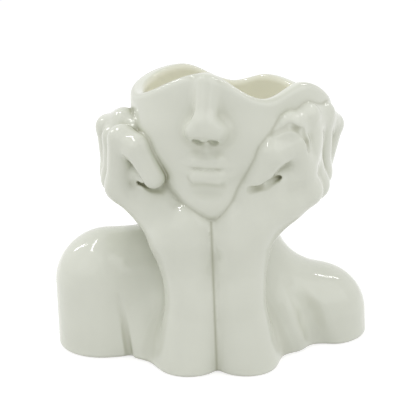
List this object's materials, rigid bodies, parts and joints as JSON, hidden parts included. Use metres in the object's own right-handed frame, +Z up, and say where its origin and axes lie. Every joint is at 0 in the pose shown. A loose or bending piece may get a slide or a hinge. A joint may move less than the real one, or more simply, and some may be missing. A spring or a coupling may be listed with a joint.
{
  "type": "figure planter",
  "caption": "Glazed ceramic bust planter: head cut open at eye level as the pot mouth, face resting on both hands, flat base, drain with soft plug.",
  "frame": {"origin": "on the surface the planter stands on, under the middle of its bounding box", "axes": "+Z up, the figure faces -Y, +X is the figure's own left, across the shoulders"},
  "size_m": [0.1366, 0.0792, 0.12],
  "materials": {
    "glaze": "glossy ivory-white glaze over cast ceramic, pooling slightly darker in the creases",
    "silicone": "soft translucent-white silicone, satin"
  },
  "bodies": {
    "pot": {"head_pot": "glaze", "bust": "glaze", "left_arm": "glaze", "right_arm": "glaze"},
    "plug": {"drain_plug": "silicone"}
  },
  "joints": [
    {"name": "plug_lift", "type": "slide", "parent": "pot", "child": "plug", "axis": [0, 0, 1], "range_m": [0, 0.125]}
  ]
}
